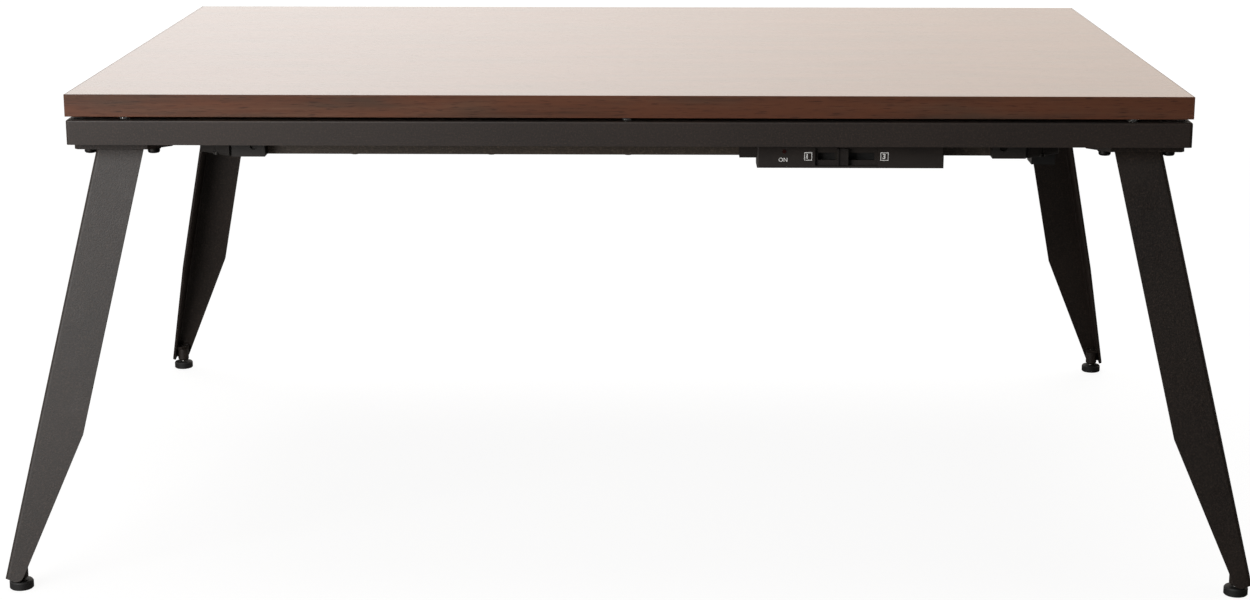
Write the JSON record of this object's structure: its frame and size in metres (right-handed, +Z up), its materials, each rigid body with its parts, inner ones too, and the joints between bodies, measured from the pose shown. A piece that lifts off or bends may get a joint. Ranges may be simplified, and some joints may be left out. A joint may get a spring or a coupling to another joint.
{
  "type": "kotatsu table",
  "caption": "Low heated table with a lift-off walnut top, thin black frame, splayed folded-steel legs on screw feet, flat heater under the frame and a slide control at the front.",
  "frame": {"origin": "on the floor, under the middle of the table", "axes": "+X to the right of a user who faces the control box, +Y away from that user, +Z up"},
  "size_m": [1.0124, 0.7124, 0.4],
  "materials": {
    "core_board": "raw particle board",
    "walnut_veneer": "satin lacquered walnut veneer with long grain",
    "walnut_edge": "satin lacquered walnut edge band",
    "backing_sheet": "matt dark backing sheet",
    "black_frame": "matt black-brown lacquer on wood",
    "block_wood": "planed softwood",
    "dowel_wood": "fluted beech",
    "clear_bumper": "clear soft silicone",
    "leg_paint": "matt black-brown powder coat, fine texture",
    "zinc_steel": "bright zinc plate",
    "black_steel": "black oxide",
    "insert_brass": "turned brass",
    "pad_rubber": "matt black rubber",
    "case_paint": "matt black-brown enamel",
    "bracket_plastic": "fine matt black-brown plastic",
    "bright_aluminium": "polished reflector sheet",
    "galvanised_sheet": "galvanised",
    "insulation": "pressed mineral fibre",
    "quartz": "clear quartz",
    "core_wire": "oxidised resistance coil",
    "white_ceramic": "unglazed white ceramic",
    "guard_paint": "heat-proof black enamel",
    "black_plastic": "fine matt plastic",
    "control_plastic": "fine matt black-brown plastic",
    "knob_plastic": "semi-gloss black-brown plastic",
    "contact_brass": "pressed brass",
    "board_resin": "brown resin board",
    "lamp_lens": "clear red lens",
    "lead_rubber": "glass-sleeved silicone lead"
  },
  "bodies": {
    "frame": {"rail_front": "black_frame", "rail_back": "black_frame", "rail_left": "black_frame", "rail_right": "black_frame", "corner_blocks": "block_wood", "mitre_dowels": "dowel_wood", "top_bumpers": "clear_bumper", "corner_tie_plates": "case_paint", "leg_bolts": "black_steel", "bolt_washers": "black_steel", "threaded_inserts": "insert_brass", "foot_sockets": "leg_paint", "heater_case": "case_paint", "heater_cover": "case_paint", "cover_screws": "black_steel", "heater_brackets": "bracket_plastic", "bracket_screws": "black_steel", "reflector": "bright_aluminium", "heat_insulation": "insulation", "element_end_plates": "galvanised_sheet", "quartz_tubes": "quartz", "heating_cores": "core_wire", "element_holders": "white_ceramic", "thermostat": "black_plastic", "thermal_fuse": "white_ceramic", "terminal_block": "white_ceramic", "heater_guard": "guard_paint", "guard_clips": "guard_paint", "inlet_body": "black_plastic", "inlet_pins": "zinc_steel", "control_case": "control_plastic", "control_lid": "control_plastic", "control_screws": "black_steel", "switch_body": "black_plastic", "control_board": "board_resin", "pilot_lamp": "lamp_lens", "heater_leads": "lead_rubber", "leg_front_left": "leg_paint", "leg_plate_front_left": "leg_paint", "leg_front_right": "leg_paint", "leg_plate_front_right": "leg_paint", "leg_back_left": "leg_paint", "leg_plate_back_left": "leg_paint", "leg_back_right": "leg_paint", "leg_plate_back_right": "leg_paint"},
    "tabletop": {"top_core": "core_board", "top_veneer": "walnut_veneer", "top_backing": "backing_sheet", "edge_bands_long": "walnut_edge", "edge_bands_short": "walnut_edge"},
    "slider": {"slider_knob": "knob_plastic", "slider_carriage": "contact_brass"},
    "foot_front_left": {"foot_pad_front_left": "pad_rubber", "foot_stud_front_left": "zinc_steel"},
    "foot_front_right": {"foot_pad_front_right": "pad_rubber", "foot_stud_front_right": "zinc_steel"},
    "foot_back_left": {"foot_pad_back_left": "pad_rubber", "foot_stud_back_left": "zinc_steel"},
    "foot_back_right": {"foot_pad_back_right": "pad_rubber", "foot_stud_back_right": "zinc_steel"}
  },
  "joints": [
    {"name": "tabletop_lift", "type": "slide", "parent": "frame", "child": "tabletop", "axis": [0, 0, 1], "range_m": [0, 0.15]},
    {"name": "heat_slider", "type": "slide", "parent": "frame", "child": "slider", "axis": [1, 0, 0], "range_m": [-0.0172, 0.0233]},
    {"name": "foot_front_left_screw", "type": "slide", "parent": "frame", "child": "foot_front_left", "axis": [0, 0, 1], "range_m": [-0.01, 0]},
    {"name": "foot_front_right_screw", "type": "slide", "parent": "frame", "child": "foot_front_right", "axis": [0, 0, 1], "range_m": [-0.01, 0]},
    {"name": "foot_back_left_screw", "type": "slide", "parent": "frame", "child": "foot_back_left", "axis": [0, 0, 1], "range_m": [-0.01, 0]},
    {"name": "foot_back_right_screw", "type": "slide", "parent": "frame", "child": "foot_back_right", "axis": [0, 0, 1], "range_m": [-0.01, 0]}
  ]
}
